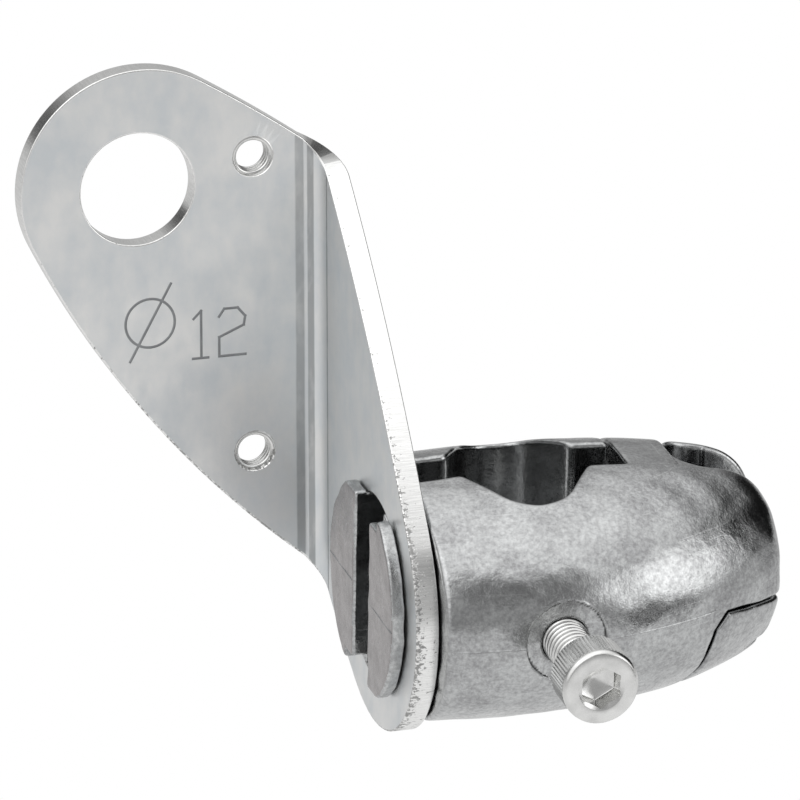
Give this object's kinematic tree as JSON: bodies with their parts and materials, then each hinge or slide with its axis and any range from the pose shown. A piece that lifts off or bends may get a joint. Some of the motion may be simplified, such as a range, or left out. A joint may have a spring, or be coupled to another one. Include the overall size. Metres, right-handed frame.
{
  "type": "rod clamp with sensor plate",
  "caption": "Rod clamp of two cast half shells, spread by a socket head screw that also locks a swivelling bent steel plate with a sensor hole and tapped holes.",
  "frame": {"origin": "on the axis of the held rod, level with the clamp screw", "axes": "+Z along the rod, +X along the shells away from the plate, +Y from the screw head towards the rod"},
  "size_m": [0.0916, 0.0686, 0.0814],
  "materials": {
    "rear_casting": "tumbled zinc casting",
    "front_casting": "tumbled zinc casting",
    "screw_steel": "bright",
    "plate_steel": "zinc plated sheet"
  },
  "bodies": {
    "rear_shell": {"rear_half_shell": "rear_casting"},
    "front_shell": {"front_half_shell": "front_casting"},
    "screw": {"clamp_screw": "screw_steel"},
    "plate": {"mounting_plate": "plate_steel"}
  },
  "joints": [
    {"name": "shell_closing", "type": "slide", "parent": "rear_shell", "child": "front_shell", "axis": [0, 1, 0], "range_m": [0, 0.0063]},
    {"name": "screw_travel", "type": "slide", "parent": "front_shell", "child": "screw", "axis": [0, 1, 0], "range_m": [-0.004, 0.008]},
    {"name": "plate_swivel", "type": "hinge", "parent": "rear_shell", "child": "plate", "pos_m": [-0.0171, -0.00525, 0], "axis": [1, 0, 0], "continuous": true}
  ]
}
